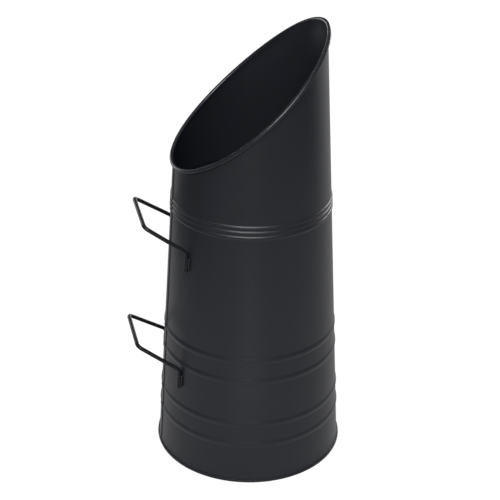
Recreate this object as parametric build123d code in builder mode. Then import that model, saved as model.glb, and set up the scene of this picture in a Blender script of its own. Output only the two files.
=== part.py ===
from build123d import *
import os
from math import atan, cos, degrees, radians, sin, sqrt

# A coal scuttle: a tall tapering bucket of black painted sheet steel, with a slanting mouth
# and two fixed wire handles at the back. Lengths are in millimetres, angles in degrees.
# It stands on the floor at z = 0, with the axis of its round body on Z. The mouth is highest
# at +X, the pouring side, and lowest at -X, where the seam and the two handles are.

# Stock
sheet_thickness = 0.8
rim_wire_diameter = 3.3
handle_wire_diameter = 5.0

# Foot, where the wall flares out into the hem of the base
foot_diameter = 240.0
flare_width = 2.8
flare_height = 15.5
hem_height = 3.6
hem_play = 0.1
hem_floor_play = 0.4
base_height = 9.0
base_bend_radius = 2.5

# Wall, a plain cone between the foot and the mouth
wall_taper = 0.057
wall_foot_diameter = foot_diameter - 2 * flare_width

# Mouth, measured on the centre line of the rim wire
mouth_back_height = 396.9
mouth_front_height = 560.9
mouth_bow = 6.25

# Rim, the edge of the sheet rolled outward over the rim wire
rim_wire_play = 0.1
rim_inner_lip = 0.4
rim_slit_width = 0.9
rim_slit_gap = 0.2
rim_spans = 12
rim_probe_angle = 0.1
rim_height_rounds = 8

# Pressed beads. The single ones go by the height of their crests, the three close ones by the
# drop from the back of the mouth to their middle crest.
single_bead_heights = [55.1, 84.0, 144.7, 173.4]
single_bead_width = 10.6
single_bead_rise = 1.0
triple_bead_drop = 53.7
triple_bead_pitch = 6.5
triple_bead_rise = 1.2
bead_crest_share = 0.6

# Lock seam down the back
seam_width = 8.0
seam_rise = 1.0

# Handles, measured on the centre line of the wire. Each stands on its two feet, which lie on the
# wall at an angle from the back, and its grip is clear of the wall and higher than its feet.
handle_bend_radius = 7.5
handle_wall_gap = 0.1
handle_end_chamfer = 0.5
upper_foot_drop = 41.7
upper_foot_length = 25.0
upper_foot_angle = 29.3
upper_grip_rise = 33.9
upper_grip_clearance = 40.0
upper_grip_half_width = 42.0
lower_foot_drop = 2.7
lower_foot_length = 25.2
lower_foot_angle = 26.7
lower_grip_rise = 33.6
lower_grip_clearance = 42.2
lower_grip_half_width = 39.5

# Weld beads beside the handles' feet
weld_radius = 1.9
weld_reach = 1.0
weld_side_offset = 0.7
weld_play = 0.05
weld_end_margin = 2.5
weld_top_margin = 7.0

overrun = 30.0


def wall_radius(height):
    """Outer radius of the plain cone at a height."""
    return wall_foot_diameter / 2 - wall_taper * (height - flare_height)


wall_up = Vector(-wall_taper, 1).normalized()
wall_out = Vector(1, wall_taper).normalized()


def tangent_radius(chord, normal):
    """Radius of the arc that starts square to normal and ends a chord away."""
    return chord.dot(chord) / (2 * chord.dot(normal))


# The flare is an arc that leaves the cone smoothly and reaches the foot's edge.
flare_top = Vector(wall_foot_diameter / 2, flare_height)
wall_edge_height = sheet_thickness + hem_floor_play
flare_edge = Vector(foot_diameter / 2 - sheet_thickness - hem_play, wall_edge_height)
flare_radius = tangent_radius(flare_edge - flare_top, wall_out)
flare_centre = flare_top + wall_out * flare_radius


def flare_point(height, outward):
    """Point at a height on the flare, moved outward from the wall's outer surface."""
    radius = flare_radius - outward
    drop = flare_centre.Y - height
    return (flare_centre.X - sqrt(radius**2 - drop**2), height)


def flare_run(low, high, outward):
    """The flare between two heights, for a line builder."""
    middle = (low + high) / 2
    ThreePointArc(flare_point(low, outward), flare_point(middle, outward), flare_point(high, outward))


def bead(height, width, rise):
    """A rounded bead that swells out of the cone and returns to it, centred at a height."""
    centre = Vector(wall_radius(height), height)
    angle = 2 * atan(2 * rise / width)
    arc_radii = width / 2 / sin(angle)
    valley = arc_radii * (1 - bead_crest_share)
    along = width / 2 - valley * sin(angle)
    out = valley * (1 - cos(angle))
    start = centre - wall_up * (width / 2)
    lower = centre - wall_up * along + wall_out * out
    upper = centre + wall_up * along + wall_out * out
    end = centre + wall_up * (width / 2)
    first = TangentArc(start, lower, tangent=wall_up)
    crest = TangentArc(lower, upper, tangent=first % 1)
    TangentArc(upper, end, tangent=crest % 1)
    return start, end


triple_bead_height = mouth_back_height - triple_bead_drop


def wall_line(low):
    """The outer surface of the sheet in section, from a height in the flare to above the mouth."""
    flare_run(low, flare_height, 0)
    top = mouth_front_height + overrun
    reached = flare_top
    beads = [(height, single_bead_width, single_bead_rise) for height in single_bead_heights]
    for step in (-1, 0, 1):
        height = triple_bead_height + step * triple_bead_pitch * wall_up.Y
        beads.append((height, triple_bead_pitch, triple_bead_rise))
    for height, width, rise in beads:
        start, end = bead(height, width, rise)
        if (start - reached).length > hem_play:
            Line(reached, start)
        reached = end
    Line(reached, (wall_radius(top), top))


# Seen from the side the mouth is one arc, which dips a little below the straight line between
# its ends. It is set out on the middle of the sheet.
sheet_middle = sheet_thickness / 2
mouth_back = Vector(sheet_middle - wall_radius(mouth_back_height), mouth_back_height)
mouth_front = Vector(wall_radius(mouth_front_height) - sheet_middle, mouth_front_height)
mouth_chord = mouth_front - mouth_back
mouth_normal = Vector(-mouth_chord.Y, mouth_chord.X).normalized()
mouth_radius = mouth_chord.dot(mouth_chord) / (8 * mouth_bow) + mouth_bow / 2
mouth_centre = (mouth_back + mouth_front) * 0.5 + mouth_normal * (mouth_radius - mouth_bow)


def mouth_height(x):
    """Height of the mouth over a place on the X axis."""
    return mouth_centre.Y - sqrt(mouth_radius**2 - (x - mouth_centre.X) ** 2)


# The rolled rim stands a little inside the wall, and its slit is underneath, close to the wall.
rim_bore_diameter = rim_wire_diameter + 2 * rim_wire_play
rim_diameter = rim_bore_diameter + 2 * sheet_thickness
rim_seat_offset = rim_diameter / 2 - sheet_thickness - rim_inner_lip
rim_slit_inset = rim_seat_offset - rim_slit_gap - rim_slit_width / 2
rim_slit_drop = sqrt(((rim_bore_diameter + rim_diameter) / 4) ** 2 - rim_slit_inset**2)


def rim_centre(angle):
    """Centre of the rim wire at an angle from the pouring side."""
    height = mouth_height(0)
    for _ in range(rim_height_rounds):
        height = mouth_height((wall_radius(height) - sheet_middle) * cos(radians(angle)))
    reach = wall_radius(height) + rim_seat_offset
    return Vector(reach * cos(radians(angle)), reach * sin(radians(angle)), height)


def rim_point(angle, outward, downward):
    """A point beside the rim wire's centre, moved square to the wire."""
    ahead = (rim_centre(angle + rim_probe_angle) - rim_centre(angle - rim_probe_angle)).normalized()
    out = Vector(cos(radians(angle)), sin(radians(angle)), 0)
    out = (out - ahead * out.dot(ahead)).normalized()
    down = out.cross(ahead) * -1
    return rim_centre(angle) + out * outward + down * downward


def rim_loop(outward, downward):
    """A closed loop of smoothly joined arcs round the mouth, beside the rim wire's centre."""
    corners = []
    for i in range(rim_spans):
        angle = 360 * i / rim_spans
        before = rim_point(angle - rim_probe_angle, outward, downward)
        after = rim_point(angle + rim_probe_angle, outward, downward)
        corners.append((rim_point(angle, outward, downward), (after - before).normalized()))
    corners.append(corners[0])
    with BuildLine() as loop:
        for (start, leave), (end, arrive) in zip(corners, corners[1:]):
            chord = end - start
            both = leave + arrive
            turn = 2 * (1 - leave.dot(arrive))
            lean = chord.dot(both)
            reach = (sqrt(lean**2 + turn * chord.dot(chord)) - lean) / turn
            first_handle = start + leave * reach
            last_handle = end - arrive * reach
            middle = (first_handle + last_handle) * 0.5
            TangentArc(start, middle, tangent=leave)
            TangentArc(middle, end, tangent=last_handle - first_handle)
    return loop.wire()


def side_plane(angle):
    """The upright plane through the axis, at an angle from the pouring side."""
    along = (cos(radians(angle)), sin(radians(angle)), 0)
    across = (sin(radians(angle)), -cos(radians(angle)), 0)
    return Plane(origin=(0, 0, 0), x_dir=along, z_dir=across)


def wall_point(height, back_angle, outward):
    """A point beside the wall, by its angle from the back towards +Y."""
    reach = wall_radius(height) + outward
    return Vector(-reach * cos(radians(back_angle)), reach * sin(radians(back_angle)), height)


rim_line = rim_loop(0, 0)
rim_start = Plane(origin=rim_line @ 0, z_dir=rim_line % 0)
slit_line = rim_loop(-rim_slit_inset, rim_slit_drop)
slit_start = Plane(origin=slit_line @ 0, z_dir=slit_line % 0)
seam_angle = degrees(seam_width / wall_radius(mouth_back_height / 2))

# Body shell: one sheet with its beads, flared foot, lock seam and rolled rim
with BuildPart() as body_shell:
    with BuildSketch(Plane.XZ):
        with BuildLine():
            wall_line(wall_edge_height)
            offset(amount=sheet_thickness, side=Side.LEFT)
        make_face()
    revolve(axis=Axis.Z)

    # The folded lock seam stands out of the wall along the back, above the hem
    with BuildSketch(side_plane(180 - seam_angle / 2)):
        with BuildLine():
            wall_line(hem_height + hem_play)
            offset(amount=seam_rise, side=Side.RIGHT)
        make_face()
    revolve(axis=Axis.Z, revolution_arc=seam_angle)

    # The mouth is cut along the middle of the rolled edge
    with BuildSketch(Plane.XZ):
        with BuildLine():
            top = mouth_front_height + 2 * overrun
            back_reach = -foot_diameter / 2
            front_reach = foot_diameter / 2
            low = (back_reach, mouth_height(back_reach))
            high = (front_reach, mouth_height(front_reach))
            ThreePointArc(low, (0, mouth_height(0)), high)
            Polyline(high, (front_reach, top), (back_reach, top), low)
        make_face()
    extrude(amount=foot_diameter, both=True, mode=Mode.SUBTRACT)

    # The rolled edge is a tube round the rim wire, open in a narrow slit underneath
    with BuildSketch(rim_start):
        Circle(rim_diameter / 2)
    sweep(path=rim_line)
    with BuildSketch(rim_start):
        Circle(rim_bore_diameter / 2)
    sweep(path=rim_line, mode=Mode.SUBTRACT)
    with BuildSketch(slit_start):
        Circle(rim_slit_width / 2)
    sweep(path=slit_line, mode=Mode.SUBTRACT)

# Rim wire: a closed ring inside the rolled edge
with BuildPart() as rim_wire:
    with BuildSketch(rim_start):
        Circle(rim_wire_diameter / 2)
    sweep(path=rim_line)

# Base pan: a pressed disc whose edge turns down inside the foot and hems round the wall's edge
with BuildPart() as base_pan:
    with BuildSketch(Plane.XZ) as pan_section:
        wall_side = -sheet_thickness - hem_play
        pan_side = wall_side - sheet_thickness
        hem_side = hem_play + sheet_thickness
        top_corner = flare_point(base_height, wall_side)
        under_corner = flare_point(base_height - sheet_thickness, pan_side)
        outer_corner = flare_point(0, hem_side)
        inner_corner = flare_point(0, pan_side)
        with BuildLine():
            Line((0, base_height), top_corner)
            flare_run(base_height, sheet_thickness, wall_side)
            Line(flare_point(sheet_thickness, wall_side), flare_point(sheet_thickness, hem_play))
            flare_run(sheet_thickness, hem_height, hem_play)
            Line(flare_point(hem_height, hem_play), flare_point(hem_height, hem_side))
            flare_run(hem_height, 0, hem_side)
            Line(outer_corner, inner_corner)
            flare_run(0, base_height - sheet_thickness, pan_side)
            Polyline(under_corner, (0, base_height - sheet_thickness), (0, base_height))
        make_face()
        rounds = [
            (top_corner, base_bend_radius),
            (under_corner, base_bend_radius - sheet_thickness),
            (outer_corner, sheet_thickness),
            (inner_corner, sheet_thickness),
        ]
        for place, radius in rounds:
            fillet(pan_section.vertices().sort_by_distance(place)[0], radius)
    revolve(axis=Axis.Z)


def handle_path(foot, grip_rise, grip_clearance, grip_half_width):
    """The centre line of a handle: foot, leg, grip, leg and foot, with round bends."""
    top_height, end_height, angle = foot
    seat = handle_wire_diameter / 2 + handle_wall_gap
    grip_height = top_height + grip_rise
    grip_reach = wall_radius(grip_height) + grip_clearance
    end = wall_point(end_height, angle, seat)
    top = wall_point(top_height, angle, seat)
    grip = Vector(-grip_reach, grip_half_width, grip_height)
    half = [end, top, grip]
    other = [Vector(point.X, -point.Y, point.Z) for point in reversed(half)]
    with BuildLine() as path:
        FilletPolyline(*half, *other, radius=handle_bend_radius)
    return path.wire()


def weld_line(foot, side):
    """The ends of the centre line of a weld bead beside a handle's foot."""
    top_height, end_height, angle = foot
    spacing = handle_wire_diameter / 2 + weld_side_offset
    across = Vector(sin(radians(angle)), cos(radians(angle)), 0) * side * spacing
    low = wall_point(end_height + weld_end_margin + weld_radius, angle, weld_reach)
    high = wall_point(top_height - weld_top_margin - weld_radius, angle, weld_reach)
    return low + across, high + across


# The upper handle hangs its feet below the three close beads, the lower one below the third single bead.
upper_foot_top = triple_bead_height - upper_foot_drop
lower_foot_top = single_bead_heights[2] - single_bead_width / 2 - lower_foot_drop
upper_foot = (upper_foot_top, upper_foot_top - upper_foot_length, upper_foot_angle)
lower_foot = (lower_foot_top, lower_foot_top - lower_foot_length, lower_foot_angle)
upper_path = handle_path(upper_foot, upper_grip_rise, upper_grip_clearance, upper_grip_half_width)
lower_path = handle_path(lower_foot, lower_grip_rise, lower_grip_clearance, lower_grip_half_width)

# Upper handle: one bent wire
with BuildPart() as upper_handle:
    with BuildSketch(Plane(origin=upper_path @ 0, z_dir=upper_path % 0)):
        Circle(handle_wire_diameter / 2)
    sweep(path=upper_path)
    chamfer(upper_handle.faces().filter_by(GeomType.PLANE).edges(), handle_end_chamfer)

# Lower handle: one bent wire
with BuildPart() as lower_handle:
    with BuildSketch(Plane(origin=lower_path @ 0, z_dir=lower_path % 0)):
        Circle(handle_wire_diameter / 2)
    sweep(path=lower_path)
    chamfer(lower_handle.faces().filter_by(GeomType.PLANE).edges(), handle_end_chamfer)


def round_section(place, along, diameter):
    """A round section square to a direction."""
    with BuildSketch(Plane(origin=place, z_dir=along)) as section:
        Circle(diameter / 2)
    return section.sketch


def weld_beads(foot, path):
    """Four weld beads, one each side of both feet, for a part builder."""
    for side in (-1, 1):
        start, end = weld_line(foot, side)
        sweep(round_section(start, end - start, 2 * weld_radius), path=Edge.make_line(start, end))
        with Locations(start, end):
            Sphere(weld_radius)
    mirror(about=Plane.XZ)
    Cone(
        wall_radius(0) + weld_play,
        wall_radius(mouth_back_height) + weld_play,
        mouth_back_height,
        align=(Align.CENTER, Align.CENTER, Align.MIN),
        mode=Mode.SUBTRACT,
    )
    wire = round_section(path @ 0, path % 0, handle_wire_diameter + 2 * weld_play)
    sweep(wire, path=path, mode=Mode.SUBTRACT)


# Weld beads of the upper handle, one group of four
with BuildPart() as upper_handle_welds:
    weld_beads(upper_foot, upper_path)

# Weld beads of the lower handle, one group of four
with BuildPart() as lower_handle_welds:
    weld_beads(lower_foot, lower_path)

os.makedirs("parts", exist_ok=True)
pieces = {
    "body_shell": body_shell,
    "rim_wire": rim_wire,
    "base_pan": base_pan,
    "upper_handle": upper_handle,
    "lower_handle": lower_handle,
    "upper_handle_welds": upper_handle_welds,
    "lower_handle_welds": lower_handle_welds,
}
for name, piece in pieces.items():
    piece.part.label = name
    export_step(piece.part, f"parts/{name}.step")
    print(name, len(piece.part.solids()), "solids", round(piece.part.volume), "mm3", piece.part.is_valid)
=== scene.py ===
# %% [markdown]
# # A coal scuttle in black powder coat
# The real thing is a tall round bucket, rolled from one sheet of steel. Its edge is curled over a
# wire at the mouth, beads are pressed round it to stiffen it, and two bent wires are welded to its
# back as handles. All of it is sprayed with black powder and baked.
#
# The CAD model comes in as a fixed frame, and this file dresses it. Its flat facets would show in
# a satin coat, so each visible piece is made again as a clean mesh of the same size and place.

# %% Load the frame
from math import atan, atan2, cos, degrees, pi, radians, sin, sqrt, tan

import bmesh
import bpy
from mathutils import Matrix, Vector


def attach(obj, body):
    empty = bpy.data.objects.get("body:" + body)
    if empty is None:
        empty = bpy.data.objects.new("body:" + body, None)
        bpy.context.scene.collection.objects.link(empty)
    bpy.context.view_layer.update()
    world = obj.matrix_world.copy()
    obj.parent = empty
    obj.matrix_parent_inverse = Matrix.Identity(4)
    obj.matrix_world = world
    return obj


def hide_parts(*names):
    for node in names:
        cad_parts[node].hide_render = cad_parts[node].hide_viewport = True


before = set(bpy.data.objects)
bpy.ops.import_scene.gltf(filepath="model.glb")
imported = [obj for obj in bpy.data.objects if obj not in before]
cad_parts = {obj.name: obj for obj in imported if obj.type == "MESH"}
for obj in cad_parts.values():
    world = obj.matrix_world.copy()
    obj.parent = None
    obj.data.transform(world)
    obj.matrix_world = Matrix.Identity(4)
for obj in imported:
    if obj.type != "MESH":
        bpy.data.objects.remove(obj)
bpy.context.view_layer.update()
mm = 0.001
print("CAD nodes:", ", ".join(sorted(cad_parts)))

# %% [markdown]
# ## The camera
# A camera needs a place, an aim and a lens. These came from matching the outline, the beads and
# the handles to the photograph, so the picture shows the scuttle from the same side and height.
# Blender's camera looks along its own -Z, and `to_track_quat` turns it to face the aim. The last
# turn is the small tilt of a camera that wasn't quite level, and the shift slides the picture by
# about half a pixel, to lay it over the photograph.

# %% Place the camera
camera_heading = radians(12.957)
camera_reach = 1564.05
camera_height = 1100.9
aim_height = 268.71
camera_tilt = radians(0.801)
lens_length = 102.003
picture_shift = (-0.0011, 0.0012)

camera_data = bpy.data.cameras.new("camera")
camera_data.lens = lens_length
camera_data.shift_x, camera_data.shift_y = picture_shift
camera = bpy.data.objects.new("camera", camera_data)
bpy.context.collection.objects.link(camera)
level = Vector((-sin(camera_heading), -cos(camera_heading), 0))
camera.location = (level * camera_reach + Vector((0, 0, camera_height))) * mm
sight = Vector((0, 0, aim_height)) * mm - camera.location
facing = sight.to_track_quat("-Z", "Y").to_matrix() @ Matrix.Rotation(camera_tilt, 3, "Z")
camera.rotation_euler = facing.to_euler()
bpy.context.scene.camera = camera
print("camera at", [round(v, 3) for v in camera.location], "looking", round(sight.length, 3), "m")

# %% [markdown]
# ## The sizes
# These are the sizes that the CAD model was made from, in millimetres, so that the new meshes lie
# where its solids lie. The wall is a plain cone. Its foot flares out in an arc, and seven beads
# swell out of it. Seen from the side, the mouth is one shallow arc from the low back to the high
# pouring side.

# %% Sizes of the sheet
sheet_thickness = 0.8
foot_diameter = 240.0
flare_width = 2.8
flare_height = 15.5
wall_taper = 0.057
wall_edge_height = 1.2
hem_height = 3.6
hem_play = 0.1
single_bead_heights = [55.1, 84.0, 144.7, 173.4]
single_bead_width = 10.6
single_bead_rise = 1.0
triple_bead_height = 343.2
triple_bead_pitch = 6.5
triple_bead_rise = 1.2
bead_crest_share = 0.6
mouth_back_height = 396.9
mouth_front_height = 560.9
mouth_bow = 6.25

wall_foot_radius = foot_diameter / 2 - flare_width
wall_up = Vector((-wall_taper, 1)).normalized()
wall_out = Vector((1, wall_taper)).normalized()


def wall_radius(height):
    """Outer radius of the plain cone at a height."""
    return wall_foot_radius - wall_taper * (height - flare_height)


shown_heights = (flare_height, triple_bead_height, mouth_back_height, mouth_front_height)
print("wall radius in mm:", [round(wall_radius(height), 1) for height in shown_heights])

# %% [markdown]
# ## The wall in section
# A round wall is a section that is carried round an axis. Each place on the section is kept with
# its outward direction, because the inside skin is the same line moved in by the thickness of the
# sheet, and the seam is the same line moved out a little.
#
# The flare is an arc that leaves the cone without a corner. A bead is three arcs: out of the wall,
# over the crest and back. Rows of vertices lie close together there, and one more row lies just
# beside each bead, so that the smooth shading of the bead doesn't creep over the plain wall.

# %% Places along the outer skin
flare_top = Vector((wall_foot_radius, flare_height))
flare_edge = Vector((foot_diameter / 2 - sheet_thickness - hem_play, wall_edge_height))
flare_chord = flare_edge - flare_top
flare_radius = flare_chord.length_squared / (2 * flare_chord.dot(wall_out))
flare_centre = flare_top + wall_out * flare_radius


def flare_place(height):
    """A place on the outer skin of the flare, with its outward direction."""
    drop = flare_centre.y - height
    place = Vector((flare_centre.x - sqrt(flare_radius**2 - drop**2), height))
    return place, (flare_centre - place).normalized()


def bead_places(height, width, rise, steps=4):
    """Places over one bead, from its lower edge to its upper edge."""
    centre = Vector((wall_radius(height), height))
    lean = 2 * atan(2 * rise / width)
    crest = width / 2 / sin(lean) * bead_crest_share
    valley = width / 2 / sin(lean) - crest
    spots = []
    for step in range(steps):
        turn = lean * step / steps
        spots.append((valley * sin(turn) - width / 2, valley * (1 - cos(turn)), turn))
    for step in range(-steps, steps + 1):
        turn = -lean * step / steps
        spots.append((-crest * sin(turn), rise - crest * (1 - cos(turn)), turn))
    for step in range(steps - 1, -1, -1):
        turn = lean * step / steps
        spots.append((width / 2 - valley * sin(turn), valley * (1 - cos(turn)), -turn))
    return [
        (centre + wall_up * along + wall_out * out, wall_out * cos(turn) - wall_up * sin(turn))
        for along, out, turn in spots
    ]


def cone_place(height):
    """A place on the plain cone."""
    return Vector((wall_radius(height), height)), wall_out


# %% The whole section below the mouth
bead_guard = 0.6
row_spacing = 11.0
least_row_gap = 0.2
plain_top = 356.0
flare_rows = [wall_edge_height, 2.5, hem_height + hem_play, 4.0, 6.0, 8.5, 11.0, 13.5]
beads = [(height, single_bead_width, single_bead_rise) for height in single_bead_heights]
for step in (-1, 0, 1):
    height = triple_bead_height + step * triple_bead_pitch * wall_up.y
    beads.append((height, triple_bead_pitch, triple_bead_rise))

skin = [flare_place(height) for height in flare_rows]
reached = flare_height
for height, width, rise in beads + [(plain_top + bead_guard, 0, 0)]:
    start = height - width / 2 * wall_up.y
    gap = start - reached
    if gap > bead_guard:
        rows = max(1, round(gap / row_spacing))
        skin.extend(cone_place(reached + gap * row / rows) for row in range(rows))
        skin.append(cone_place(start - bead_guard))
    if width:
        skin.extend(bead_places(height, width, rise))
        reached = height + width / 2 * wall_up.y + bead_guard
kept_rows = [skin[0]]
for place, outward in skin[1:]:
    if (place - kept_rows[-1][0]).length > least_row_gap:
        kept_rows.append((place, outward))
skin = kept_rows
print(len(skin), "rows below the mouth, up to", round(skin[-1][0].y, 1), "mm")

# %% [markdown]
# ## The rolled rim in section
# At the mouth the sheet curls outward over a wire, and its cut end comes back down beside the
# wall with a narrow slit left between them. In section that is a tube with a slit underneath.
# Its places are given beside the middle of the wire: so far outward, and so far down.
#
# The wire's middle lies on a slanting oval. At every angle the height is found by trying it again
# a few times, since the wall is narrower higher up.

# %% The rim's line
rim_bore_radius = 1.75
rim_radius = rim_bore_radius + sheet_thickness
rim_inner_lip = 0.4
rim_seat_offset = rim_radius - sheet_thickness - rim_inner_lip
rim_slit_gap = 0.2
rim_slit_width = 0.9
rim_tries = 8
sheet_middle = sheet_thickness / 2

mouth_back = Vector((sheet_middle - wall_radius(mouth_back_height), mouth_back_height))
mouth_front = Vector((wall_radius(mouth_front_height) - sheet_middle, mouth_front_height))
mouth_chord = mouth_front - mouth_back
mouth_normal = Vector((-mouth_chord.y, mouth_chord.x)).normalized()
mouth_radius = mouth_chord.length_squared / (8 * mouth_bow) + mouth_bow / 2
mouth_centre = (mouth_back + mouth_front) / 2 + mouth_normal * (mouth_radius - mouth_bow)


def rim_centre(angle):
    """Middle of the rim wire at an angle from the pouring side."""
    height = mouth_centre.y - sqrt(mouth_radius**2 - mouth_centre.x**2)
    for _ in range(rim_tries):
        x = (wall_radius(height) - sheet_middle) * cos(angle)
        height = mouth_centre.y - sqrt(mouth_radius**2 - (x - mouth_centre.x) ** 2)
    reach = wall_radius(height) + rim_seat_offset
    return Vector((reach * cos(angle), reach * sin(angle), height))


def rim_frame(angle, probe=0.002):
    """The rim wire's middle, with the directions square to the wire: outward and down."""
    ahead = (rim_centre(angle + probe) - rim_centre(angle - probe)).normalized()
    out = Vector((cos(angle), sin(angle), 0))
    out = (out - ahead * out.dot(ahead)).normalized()
    return rim_centre(angle), out, -out.cross(ahead)


# %% The rim's section
def circle_spots(radius, start, stop, steps):
    """Spots on a circle round the wire, from one outward-and-down spot to another, over the top."""
    first = atan2(start[0], start[1])
    last = atan2(stop[0], stop[1])
    if last <= first:
        last += 2 * pi
    turns = [first + (last - first) * step / steps for step in range(steps + 1)]
    return [(radius * sin(turn), radius * cos(turn)) for turn in turns]


def drop_at(radius, out):
    """How far down a circle round the wire is, under a place so far outward."""
    return sqrt(radius**2 - out**2)


bore_steps = 12
roll_steps = 30
wall_at = -rim_seat_offset
slit_near = wall_at + rim_slit_gap
slit_far = slit_near + rim_slit_width
inner_at = wall_at - sheet_thickness
outer_skin_end = (wall_at, drop_at(rim_radius, wall_at))
slit_mouth = (slit_near, drop_at(rim_radius, slit_near))
slit_root = (slit_near, drop_at(rim_bore_radius, slit_near))
curl_root = (slit_far, drop_at(rim_bore_radius, slit_far))
curl_end = (slit_far, drop_at(rim_radius, slit_far))
inner_skin_end = (inner_at, drop_at(rim_radius, inner_at))

bore = circle_spots(rim_bore_radius, curl_root, slit_root, bore_steps)[::-1]
roll = circle_spots(rim_radius, curl_end, inner_skin_end, roll_steps)
rim_section = [outer_skin_end, slit_mouth] + bore + roll
print(len(rim_section), "spots in the rim's section; the slit is", rim_slit_width, "mm wide")

# %% [markdown]
# ## The lock seam
# The sheet's two upright edges are hooked into each other and pressed flat, which leaves a band
# about 8 mm wide that stands out a little down the back. The mesh has columns of vertices, one for
# each angle round the wall. The band gets columns of its own, closer at its two shoulders, and
# they carry how far they stand out.

# %% Columns round the wall
seam_width = 8.0
seam_rise = 1.0
seam_half = seam_width / wall_radius(mouth_back_height / 2) / 2
shoulder = [(1.25, 0), (1.03, 0), (1.0, 0.55), (0.96, 0.86), (0.88, 0.98), (0.78, 1), (0.4, 1)]
plain_columns = 236

columns = [(pi - share * seam_half, rise) for share, rise in shoulder]
columns += [(pi, 1)] + [(pi + share * seam_half, rise) for share, rise in reversed(shoulder)]
first_angle = columns[-1][0]
sweep_angle = 2 * pi - 2 * shoulder[0][0] * seam_half
for step in range(1, plain_columns):
    columns.append((first_angle + sweep_angle * step / plain_columns, 0))
print(len(columns), "columns; the seam is", round(degrees(2 * seam_half), 1), "degrees wide")

# %% [markdown]
# ## The shell
# The shell could be a thin surface with a Solidify modifier, but that can't roll its edge over a
# wire. So each column is one closed line: up the outer skin, through the slit and round the bore,
# over the roll, down the inner skin, and back under the sheet's lower edge. Neighbouring columns
# are joined by quads. The rows above the beads follow the slanting mouth, so they spread out
# towards the pouring side. Each vertex also notes whether it lies on the roll, for the coat to
# read.

# %% Build meshes from columns of points
edge_angle = radians(38)


def make_piece(name, verts, faces, node):
    """A smooth mesh in metres that stands for a CAD node."""
    mesh = bpy.data.meshes.new(name)
    mesh.from_pydata([Vector(v) * mm for v in verts], [], faces)
    shape = bmesh.new()
    shape.from_mesh(mesh)
    bmesh.ops.recalc_face_normals(shape, faces=shape.faces)
    shape.to_mesh(mesh)
    shape.free()
    mesh.shade_smooth()
    mesh.set_sharp_from_angle(angle=edge_angle)
    piece = bpy.data.objects.new(name, mesh)
    bpy.context.collection.objects.link(piece)
    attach(piece, "root")
    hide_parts(node)
    print(f"{name}: {len(mesh.vertices)} vertices, {len(mesh.polygons)} faces")
    return piece


def ring_faces(count, length, start=0):
    """Quads between closed lines of points, the last one joined to the first."""
    faces = []
    for column in range(count):
        near = start + column * length
        far = start + (column + 1) % count * length
        for row in range(length):
            after = (row + 1) % length
            faces.append((near + row, near + after, far + after, far + row))
    return faces


def tube_faces(rings, sides):
    """Quads between open rings of points, with a flat face at each end."""
    last = (rings - 1) * sides
    faces = [tuple(range(sides)), tuple(range(last, last + sides))]
    for low in range(0, last, sides):
        for step in range(sides):
            after = (step + 1) % sides
            faces.append((low + step, low + after, low + sides + after, low + sides + step))
    return faces


# %% The shell's columns
upper_rows = 14
seam_fade = 0.86


def skin_rows(angle, top, outward, rise):
    """One column of the outer or inner skin, from the foot to a place under the roll."""
    points = []
    for place, direction in skin:
        seam = rise * seam_rise if place.y > hem_height + 2 * hem_play else 0
        reach, height = place + direction * (outward + seam)
        points.append(Vector((reach * cos(angle), reach * sin(angle), height)))
    top_turn = (atan2(top.y, top.x) - angle + pi) % (2 * pi) - pi
    low = points[-1].z
    for row in range(1, upper_rows):
        share = row / upper_rows
        height = low + (top.z - low) * share
        fade = min(1, (1 - share) / (1 - seam_fade))
        reach = wall_radius(height) + outward / wall_out.x + rise * seam_rise * fade
        turn = angle + top_turn * share
        points.append(Vector((reach * cos(turn), reach * sin(turn), height)))
    return points


shell_points = []
on_roll = []
for angle, rise in columns:
    centre, out, down = rim_frame(angle)
    section = [centre + out * spot[0] + down * spot[1] for spot in rim_section]
    outer = skin_rows(angle, section[0], 0, rise)
    inner = skin_rows(angle, section[-1], -sheet_thickness, 0)
    column = outer + section + inner[::-1]
    shell_points.extend(column)
    on_roll += [0.0] * (len(outer) + 1) + [1.0] * (len(section) - 2) + [0.0] * (len(inner) + 1)
shell = make_piece(
    "shell_sheet", shell_points, ring_faces(len(columns), len(column)), "body_shell"
)
shell.data.attributes.new("on_roll", "FLOAT", "POINT").data.foreach_set("value", on_roll)

# %% [markdown]
# ## The base pan
# The bottom is a pressed disc set up inside the foot. Its edge turns down, passes under the wall's
# lower edge and folds up outside it as a narrow hem, which is the thin line just above the floor.
# It is one section carried round the axis, with each bend in the steel made round.

# %% The pan's section
base_height = 9.0
base_bend_radius = 2.5


def beside_flare(height, outward):
    """A place at a height, moved outward from the flare's outer skin."""
    radius = flare_radius - outward
    drop = flare_centre.y - height
    return Vector((flare_centre.x - sqrt(radius**2 - drop**2), height))


def bend(before, corner, after, radius, steps=6):
    """Points on the arc that rounds a corner, in the plane or in space."""
    back = (before - corner).normalized()
    on = (after - corner).normalized()
    half = back.angle(on) / 2
    middle = (back + on).normalized()
    centre = corner + middle * (radius / sin(half))
    first = corner + back * (radius / tan(half)) - centre
    across = (on - middle * on.dot(middle)).normalized()
    swing = pi / 2 - half
    return [
        centre - middle * radius * cos(turn) + across * radius * sin(turn)
        for turn in (swing * (2 * step / steps - 1) for step in range(steps + 1))
    ]


inside = -sheet_thickness - hem_play
under = inside - sheet_thickness
hem_outside = hem_play + sheet_thickness
underside = base_height - sheet_thickness
lip_round = 0.25

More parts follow.
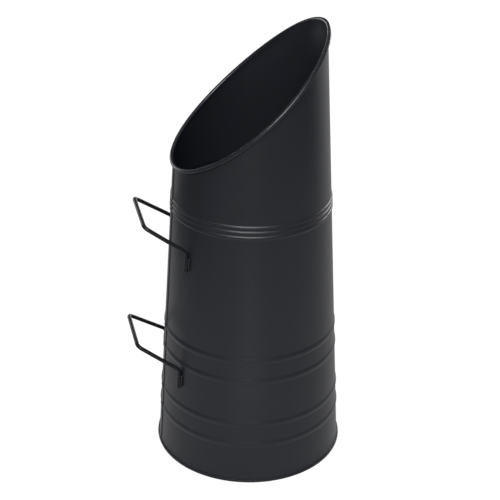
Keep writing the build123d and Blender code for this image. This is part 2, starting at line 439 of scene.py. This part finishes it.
pan_corners = [
    (beside_flare(base_height, inside), base_bend_radius),
    (beside_flare(sheet_thickness, inside), 0),
    (beside_flare(sheet_thickness, hem_play), 0),
    (beside_flare(hem_height, hem_play), lip_round),
    (beside_flare(hem_height, hem_outside), lip_round),
    (beside_flare(0, hem_outside), sheet_thickness),
    (beside_flare(0, under), sheet_thickness),
    (beside_flare(underside, under), base_bend_radius - sheet_thickness),
]
disc_rows = [30.0, 60.0, 90.0, 108.0, 114.0]
pan_line = [Vector((reach, base_height)) for reach in disc_rows]
for index, (corner, radius) in enumerate(pan_corners):
    before = pan_corners[index - 1][0] if index else pan_line[-1]
    last = index == len(pan_corners) - 1
    after = Vector((0, underside)) if last else pan_corners[index + 1][0]
    pan_line.extend(bend(before, corner, after, radius) if radius else [corner])
pan_line.extend(Vector((reach, underside)) for reach in reversed(disc_rows))
print(len(pan_line), "points in the pan's section")

# %% The pan
pan_columns = 240
pan_points = [
    (place.x * cos(angle), place.x * sin(angle), place.y)
    for angle in (2 * pi * step / pan_columns for step in range(pan_columns))
    for place in pan_line
]
row_count = len(pan_line)
pan_faces = []
for face in ring_faces(pan_columns, row_count):
    if {face[0] % row_count, face[1] % row_count} != {0, row_count - 1}:
        pan_faces.append(face)
top_middle = len(pan_points)
pan_points += [(0, 0, base_height), (0, 0, underside)]
for step in range(pan_columns):
    here = step * row_count
    there = (step + 1) % pan_columns * row_count
    pan_faces.append((top_middle, here, there))
    pan_faces.append((top_middle + 1, there + row_count - 1, here + row_count - 1))
pan = make_piece("foot_pan", pan_points, pan_faces, "base_pan")

# %% [markdown]
# ## The handles
# Each handle is one wire with four bends: two feet lie down the wall, two legs rise outward, and
# the grip joins them. A Blender curve with a round bevel would do, but its bends come from curve
# handles that have to be placed by eye. Here the corners are rounded with the bender's own radius,
# and a ring of vertices is carried along the line. The ring is turned as little as possible from
# one place to the next, so the tube doesn't twist.

# %% Wire along a line
handle_radius = 2.5
handle_bend_radius = 7.5
handle_wall_gap = 0.1
handle_end_chamfer = 0.5
handle_bend_steps = 14
wire_sides = 28


def wire_mesh(line, radius, chamfer):
    """Rings of points along a line, with chamfered ends."""
    start = (line[1] - line[0]).normalized()
    stop = (line[-1] - line[-2]).normalized()
    stations = [(line[0], radius - chamfer), (line[0] + start * chamfer, radius)]
    stations += [(place, radius) for place in line[1:-1]]
    stations += [(line[-1] - stop * chamfer, radius), (line[-1], radius - chamfer)]
    points = []
    side = start.orthogonal().normalized()
    for index, (place, reach) in enumerate(stations):
        before = stations[max(index - 1, 0)][0]
        after = stations[min(index + 1, len(stations) - 1)][0]
        ahead = (after - before).normalized()
        side = (side - ahead * side.dot(ahead)).normalized()
        other = ahead.cross(side)
        for step in range(wire_sides):
            turn = 2 * pi * step / wire_sides
            points.append(place + (side * cos(turn) + other * sin(turn)) * reach)
    return points, tube_faces(len(stations), wire_sides)


# %% The two handles
def wall_place(height, back_angle, outward):
    """A place beside the wall, by its angle from the back towards +Y."""
    reach = wall_radius(height) + outward
    return Vector((-reach * cos(back_angle), reach * sin(back_angle), height))


handles = {
    "upper": dict(top=301.5, foot=25.0, angle=29.3, rise=33.9, clearance=40.0, half_width=42.0),
    "lower": dict(top=136.7, foot=25.2, angle=26.7, rise=33.6, clearance=42.2, half_width=39.5),
}
handle_pieces = []
for name, size in handles.items():
    seat = handle_radius + handle_wall_gap
    angle = radians(size["angle"])
    grip_height = size["top"] + size["rise"]
    grip_reach = wall_radius(grip_height) + size["clearance"]
    foot_end = wall_place(size["top"] - size["foot"], angle, seat)
    foot_top = wall_place(size["top"], angle, seat)
    half = [foot_end, foot_top, Vector((-grip_reach, size["half_width"], grip_height))]
    corners = half + [Vector((p.x, -p.y, p.z)) for p in reversed(half)]
    line = [corners[0]]
    for before, corner, after in zip(corners, corners[1:], corners[2:]):
        line.extend(bend(before, corner, after, handle_bend_radius, handle_bend_steps))
    line.append(corners[-1])
    points, faces = wire_mesh(line, handle_radius, handle_end_chamfer)
    handle_pieces.append(
        make_piece(f"{name}_handle_wire", points, faces, f"{name}_handle")
    )

# %% [markdown]
# ## The weld beads
# Each foot is welded down both its sides. A hand-laid bead is a row of small overlapping ripples
# with round ends. Its section is a circle that sinks only a little into the sheet, so nothing
# pokes through inside the scuttle.

# %% Weld beads
weld_radius = 1.9
weld_reach = 1.0
weld_side_offset = 0.7
weld_end_margin = 2.5
weld_top_margin = 7.0
weld_sink = 0.3
ripple_pitch = 1.7
ripple_depth = 0.13
weld_sides = 20
ripple_steps = 6


def weld_bead(low, high, out):
    """Points and faces of one rippled bead between the middles of its round ends."""
    along = (high - low).normalized()
    side = along.cross(out).normalized()
    length = (high - low).length + 2 * weld_radius
    rings = round(length / ripple_pitch * ripple_steps)
    points = []
    for ring in range(1, rings):
        travel = length * ring / rings
        end = min(travel, length - travel)
        taper = sqrt(max(0.0, 1 - max(0.0, 1 - end / weld_radius) ** 2))
        phase = (travel / ripple_pitch) % 1
        reach = weld_radius * taper * (1 - ripple_depth * (2 * phase - 1) ** 2)
        middle = low + along * (travel - weld_radius)
        for step in range(weld_sides):
            turn = 2 * pi * step / weld_sides
            height = max(reach * cos(turn), -weld_reach - weld_sink)
            points.append(middle + side * reach * sin(turn) + out * height)
    return points, tube_faces(rings - 1, weld_sides)


weld_pieces = []
for name, size in handles.items():
    points, faces = [], []
    for hand in (-1, 1):
        angle = radians(size["angle"]) * hand
        out = Vector((-cos(angle), sin(angle), 0))
        across = Vector((sin(angle), cos(angle), 0)) * (handle_radius + weld_side_offset)
        low_height = size["top"] - size["foot"] + weld_end_margin + weld_radius
        high_height = size["top"] - weld_top_margin - weld_radius
        for side in (-1, 1):
            low = wall_place(low_height, angle, weld_reach) + across * side
            high = wall_place(high_height, angle, weld_reach) + across * side
            bead_points, bead_faces = weld_bead(low, high, out)
            shift = len(points)
            points.extend(bead_points)
            faces.extend(tuple(i + shift for i in face) for face in bead_faces)
    weld_pieces.append(
        make_piece(f"{name}_weld_ripples", points, faces, f"{name}_handle_welds")
    )

# %% [markdown]
# ## Shader sums in Python
# A material is a graph of nodes. Writing it as Python sums keeps it readable: `Shade` wraps one
# socket, and `+`, `-` and `*` on it each add a Math node. Every other node comes from `node`,
# which takes its type, its settings and its sockets.

# %% A socket that can be used in sums
class Shade:
    """A node socket that works in Python sums."""

    def __init__(self, tree, socket=None):
        self.tree = tree
        self.socket = socket

    def join(self, value, into):
        """Links a Shade to an input, or sets the input to a plain value."""
        if isinstance(value, Shade):
            self.tree.links.new(value.socket, into)
        else:
            into.default_value = value

    def node(self, kind, settings=None, sockets=None, output=0):
        """Adds a node: its settings first, then the values or links of its sockets."""
        made = self.tree.nodes.new(kind)
        for name, value in (settings or {}).items():
            setattr(made, name, value)
        for name, value in (sockets or {}).items():
            self.join(value, made.inputs[name])
        return Shade(self.tree, made.outputs[output] if made.outputs else None)

    def sum(self, operation, first, second):
        """One Math node."""
        return self.node("ShaderNodeMath", {"operation": operation}, {0: first, 1: second})

    def __add__(self, other):
        return self.sum("ADD", self, other)

    __radd__ = __add__

    def __sub__(self, other):
        return self.sum("SUBTRACT", self, other)

    def __mul__(self, other):
        return self.sum("MULTIPLY", self, other)

    __rmul__ = __mul__


def new_material(name):
    """An empty material, and a Shade to build its nodes with."""
    material = bpy.data.materials.new(name)
    material.use_nodes = True
    material.node_tree.nodes.clear()
    return material, Shade(material.node_tree)


# %% [markdown]
# ## Satin black powder coat
# Powder coat is a thick plastic skin that melts and flows in the oven. It is nearly black, with a
# soft sheen, and it never levels out quite flat: low waves a few millimetres long, called orange
# peel, and a much finer grain. Both are bump, from two sizes of noise in the object's own space.
# The sheen wanders a little as well, because the powder lies thicker in some places. On the roll of
# the rim the coat is made less rough, because the highlight there is brighter in the photograph.
# That the powder flows out smoother over the tight bend is a guess.

# %% The coat
drift_scale = 14.0
sheen_scale = 38.0
peel_scale = 420.0
grain_scale = 2600.0
colour_drift = 0.14
sheen_drift = 0.06
peel_share = 0.8
roll_polish = 0.12
mix_first, mix_second, mix_result = 6, 7, 2  # the Mix node's sockets when it mixes colours


def noise(build, scale, detail):
    """Soft random values from 0 to 1 in the object's own space. A larger scale is finer."""
    place = build.node("ShaderNodeTexCoord", output="Object")
    return build.node(
        "ShaderNodeTexNoise", sockets={"Vector": place, "Scale": scale, "Detail": detail}
    )


def powder_coat(name, colour, sheen, roughness, peel_height):
    """A baked black coat: faint colour drift, wandering sheen, orange peel and fine grain."""
    material, build = new_material(name)
    roll = build.node("ShaderNodeAttribute", {"attribute_name": "on_roll"}, output="Fac")
    peel = noise(build, peel_scale, detail=2.0)
    grain = noise(build, grain_scale, detail=1.0)
    darker = [part * (1 - colour_drift) for part in colour]
    lighter = [part * (1 + colour_drift) for part in colour]
    tint = build.node(
        "ShaderNodeMix",
        {"data_type": "RGBA", "blend_type": "MIX"},
        {
            "Factor": noise(build, drift_scale, detail=3.0),
            mix_first: (*darker, 1),
            mix_second: (*lighter, 1),
        },
        output=mix_result,
    )
    wander = sheen_drift * noise(build, sheen_scale, detail=2.0) - roll_polish * roll
    height = peel * peel_share + grain * (1 - peel_share)
    bump = build.node(
        "ShaderNodeBump", sockets={"Strength": 1.0, "Distance": peel_height * mm, "Height": height}
    )
    coat = build.node(
        "ShaderNodeBsdfPrincipled",
        sockets={
            "Base Color": tint,
            "Roughness": roughness - sheen_drift / 2 + wander,
            "Specular IOR Level": sheen,
            "Normal": bump,
        },
    )
    build.node("ShaderNodeOutputMaterial", sockets={"Surface": coat})
    print(name, "has", len(material.node_tree.nodes), "nodes")
    return material


shell_coat = powder_coat(
    "shell_powder_coat",
    colour=(0.0103, 0.0112, 0.0151),
    sheen=0.315,
    roughness=0.385,
    peel_height=0.02,
)
handle_coat = powder_coat(
    "handle_powder_coat",
    colour=(0.0060, 0.0065, 0.0085),
    sheen=0.24,
    roughness=0.36,
    peel_height=0.015,
)
for piece in (shell, pan):
    piece.data.materials.append(shell_coat)
for piece in handle_pieces + weld_pieces:
    piece.data.materials.append(handle_coat)

# %% [markdown]
# ## The rim wire
# The wire inside the roll is plain drawn steel. Only a thread of it can be seen through the slit
# underneath, so the CAD ring is kept and only gets a finish: bare metal with fine die lines and
# a little dullness where the mill oil has dried.

# %% Drawn steel
line_scale = 900.0
line_depth = 0.01
line_strength = 0.4
dull_scale = 60.0
steel_colour = (0.35, 0.35, 0.36, 1)
bright_roughness = 0.28
dull_roughness = 0.2

wire_steel, build = new_material("drawn_steel")
lines = noise(build, line_scale, detail=3.0)
dull = noise(build, dull_scale, detail=2.0)
line_bump = build.node(
    "ShaderNodeBump",
    sockets={"Strength": line_strength, "Distance": line_depth * mm, "Height": lines},
)
steel = build.node(
    "ShaderNodeBsdfPrincipled",
    sockets={
        "Base Color": steel_colour,
        "Metallic": 1.0,
        "Roughness": bright_roughness + dull_roughness * dull,
        "Normal": line_bump,
    },
)
build.node("ShaderNodeOutputMaterial", sockets={"Surface": steel})
rim_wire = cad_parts["rim_wire"]
rim_wire.data.materials.clear()
rim_wire.data.materials.append(wire_steel)
print("rim_wire is", wire_steel.name)

# %% [markdown]
# ## Floor and background
# The photograph has a pure white background, and the scuttle casts next to no shadow on it. To
# the camera the floor and the world are a plain white of strength 1, with a small share of the
# lit paper mixed in, so that a faint shadow stays.
#
# A black satin coat shows what stands round it more than it shows its own colour, and the
# photograph tells what that was. The lower wall is a little lighter than the upper one: white
# paper lay round the foot, for about a metre, and ran on behind. Past it lay dark boards, and the
# room above was dim, which is a faint plain glow here. In a reflection the paper shows as it was
# lit, at about six tenths of white, since only the camera overexposed it. A strip of it in front
# of the foot glows brighter in reflections: a painted pool of light, which puts a painted
# reflection, the soft light streak, down the middle of the lower wall.

# %% Rays that see the background
def ray_kind(build, *kinds):
    """1 for rays of the kinds named, and 0 for other rays."""
    outputs = build.node("ShaderNodeLightPath").socket.node.outputs
    seen = 0.0
    for kind in kinds:
        seen = seen + Shade(build.tree, outputs[kind])
    return seen


def seen_strength(build, to_camera, in_reflection, to_others):
    """A strength for each kind of ray: from the camera, reflected or refracted, and all others."""
    camera_rays = ray_kind(build, "Is Camera Ray")
    mirror_rays = ray_kind(build, "Is Glossy Ray", "Is Transmission Ray")
    camera_extra = (to_camera - to_others) * camera_rays
    return to_others + camera_extra + (in_reflection - to_others) * mirror_rays


# %% Floor
lit_paper_level = 0.5
to_right = Vector((-level.y, level.x, 0))


def floor_sheet(name, left, right, back, front, material):
    """A flat rectangle of floor, by how far its edges lie to the right and to the front."""
    mesh = bpy.data.meshes.new(name)
    edges = [(left, front), (right, front), (right, back), (left, back)]
    corners = [to_right * across + level * ahead for across, ahead in edges]
    mesh.from_pydata(corners, [], [(0, 1, 2, 3)])
    mesh.materials.append(material)
    sheet = bpy.data.objects.new(name, mesh)
    bpy.context.collection.objects.link(sheet)


def floor_finish(name, tone, shadow_share, glow):
    """A lit surface for most rays, plain white for the camera, and a plain glow in reflections."""
    material, build = new_material(name)
    lit = build.node("ShaderNodeBsdfDiffuse", sockets={"Color": (tone, tone, tone, 1)})
    strength = seen_strength(build, 1.0 - shadow_share * lit_paper_level, glow, 0.0)
    plain = build.node("ShaderNodeEmission", sockets={"Color": (1, 1, 1, 1), "Strength": strength})
    share = seen_strength(build, shadow_share, 0.0, 1.0)
    dark = build.node("ShaderNodeBsdfDiffuse", sockets={"Color": (0, 0, 0, 1)})
    faint = build.node("ShaderNodeMixShader", sockets={0: share, 1: dark, 2: lit})
    surface = build.node("ShaderNodeAddShader", sockets={0: faint, 1: plain})
    build.node("ShaderNodeOutputMaterial", sockets={"Surface": surface})
    return material


floor_reach = 8.0
paper_front = 0.95
paper_left, paper_right = -0.65, 1.05
sweep_start = -0.55
strip_half = 0.1
strip_start = 0.3
paper = floor_finish("white_paper", tone=0.8, shadow_share=0.1, glow=0.6)
# The strip's brighter glow is a painted pool of light, seen only as a painted reflection on the
# wall.
strip_glow_painted_light = floor_finish("painted_light_strip", tone=0.8, shadow_share=0.1, glow=1.05)
boards = floor_finish("dark_boards", tone=0.05, shadow_share=0.0, glow=0.05)
sheets = [
    ("paper_floor", paper_left, paper_right, sweep_start, strip_start, paper),
    ("paper_left", paper_left, -strip_half, strip_start, paper_front, paper),
    # This sheet's brighter glow is the painted pool of light in front of the foot.
    ("painted_light_strip", -strip_half, strip_half, strip_start, paper_front, strip_glow_painted_light),
    ("paper_right", strip_half, paper_right, strip_start, paper_front, paper),
    ("paper_sweep", -floor_reach, floor_reach, -floor_reach, sweep_start, paper),
    ("left_boards", -floor_reach, paper_left, sweep_start, floor_reach, boards),
    ("right_boards", paper_right, floor_reach, sweep_start, floor_reach, boards),
    ("front_boards", paper_left, paper_right, paper_front, floor_reach, boards),
]
for sheet in sheets:
    floor_sheet(*sheet)
print("paper from", paper_left, "to", paper_right, "m across, and", paper_front, "m to the front")

# %% World
world = bpy.data.worlds.new("studio")
bpy.context.scene.world = world
world.use_nodes = True
world.node_tree.nodes.clear()
build = Shade(world.node_tree)
world_light = 0.25
room_glow = 0.15
strength = seen_strength(build, 1.0, room_glow, world_light)
background = build.node(
    "ShaderNodeBackground", sockets={"Color": (1, 1, 1, 1), "Strength": strength}
)
build.node("ShaderNodeOutputWorld", sockets={"Surface": background})
print("world strength: 1 to the camera,", room_glow, "in reflections,", world_light, "as light")

# %% [markdown]
# ## Lamps
# The bright lines on the beads and on the near rim say where the main lamp was: a little to the
# left of the camera and about 42 degrees up. It is a wide box, because the line on the rim is long
# and soft. The light right edge asks for a wide panel behind at the right, and the softer light
# band along the left edge for a low panel behind on that side. A narrow strip low in front and a
# faint box overhead fill the rest.
#
# All five are soft boxes. The power that gives a box a brightness is pi times its area times that
# brightness.

# %% Soft boxes
upward = Vector((0, 0, 1))
lamp_aim = upward * 0.25


def soft_box(name, turn, rise, reach, width, height, brightness):
    """A rectangular lamp, by its angle round from the camera, its angle up and its distance."""
    data = bpy.data.lights.new(name, "AREA")
    data.shape = "RECTANGLE"
    data.size = width
    data.size_y = height
    data.energy = pi * width * height * brightness
    lamp = bpy.data.objects.new(name, data)
    bpy.context.collection.objects.link(lamp)
    ahead = level * cos(radians(turn)) + to_right * sin(radians(turn))
    lamp.location = lamp_aim + (ahead * cos(radians(rise)) + upward * sin(radians(rise))) * reach
    lamp.rotation_euler = (lamp_aim - lamp.location).to_track_quat("-Z", "Y").to_euler()
    lamp.visible_camera = False
    print(name, round(data.energy, 1), "W")


boxes = {
    "key_box": dict(turn=-7, rise=42, reach=2.2, width=1.3, height=0.8, brightness=15.0),
    "front_strip": dict(turn=0, rise=10, reach=2.5, width=0.3, height=1.0, brightness=3.5),
    "panel_box": dict(turn=141, rise=14, reach=2.6, width=2.1, height=1.2, brightness=9.0),
    "left_panel": dict(turn=222, rise=5, reach=3.2, width=1.8, height=0.6, brightness=4.5),
    "top_box": dict(turn=0, rise=90, reach=2.2, width=3.6, height=3.6, brightness=0.35),
}
for name, box in boxes.items():
    soft_box(name, **box)

# %% [markdown]
# ## Finish
# The picture uses Blender's Standard view, so that a colour comes out as it is written.

bpy.context.scene.view_settings.view_transform = "Standard"
